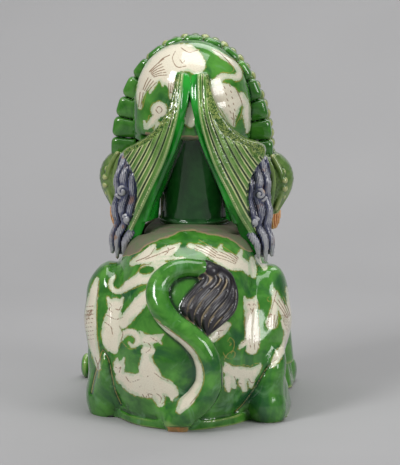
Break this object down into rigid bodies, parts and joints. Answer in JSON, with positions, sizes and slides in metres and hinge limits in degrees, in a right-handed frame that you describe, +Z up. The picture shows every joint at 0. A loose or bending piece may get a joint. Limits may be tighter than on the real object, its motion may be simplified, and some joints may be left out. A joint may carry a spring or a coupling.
{
  "type": "foo dog statue",
  "caption": "Crouching foo dog statue in green glazed ceramic, head raised on a neck tube, mane parted into two hanging sheets, S-shaped tail with a dark tuft, flat foot ring to stand on.",
  "frame": {"origin": "on the floor, under the middle of the box that holds the statue", "axes": "+Y the way the animal faces, +X its right side, +Z up"},
  "size_m": [0.233, 0.2863, 0.393],
  "materials": {
    "decorated_green_glaze": "gloss",
    "green_glaze": "gloss",
    "dark_green_glaze": "gloss",
    "yellow_green_glaze": "gloss",
    "combed_green_glaze": "gloss",
    "blue_glaze": "gloss",
    "black_glaze": "gloss",
    "orange_glaze": "gloss",
    "cream_glaze": "gloss"
  },
  "bodies": {
    "root": {"body_shell": "decorated_green_glaze", "haunch_left": "decorated_green_glaze", "haunch_right": "decorated_green_glaze", "head_shell": "decorated_green_glaze", "tail": "decorated_green_glaze", "base_rim": "green_glaze", "hind_foot_left": "green_glaze", "hind_foot_right": "green_glaze", "foreleg_left": "green_glaze", "foreleg_right": "green_glaze", "front_paw_left": "green_glaze", "front_paw_right": "green_glaze", "neck_tube": "dark_green_glaze", "scallop_ring": "green_glaze", "curl_ring": "yellow_green_glaze", "mane_sheet_left": "combed_green_glaze", "mane_sheet_right": "combed_green_glaze", "mane_locks_left": "blue_glaze", "mane_locks_right": "blue_glaze", "ear_left": "yellow_green_glaze", "ear_right": "yellow_green_glaze", "ear_beads": "yellow_green_glaze", "cheek_tufts": "orange_glaze", "chin_beard": "orange_glaze", "eyebrows": "blue_glaze", "face_mask": "green_glaze", "lower_jaw": "green_glaze", "nose": "green_glaze", "tongue": "orange_glaze", "upper_teeth": "cream_glaze", "lower_teeth": "cream_glaze", "eyes": "cream_glaze", "tail_tuft": "black_glaze"}
  },
  "joints": []
}
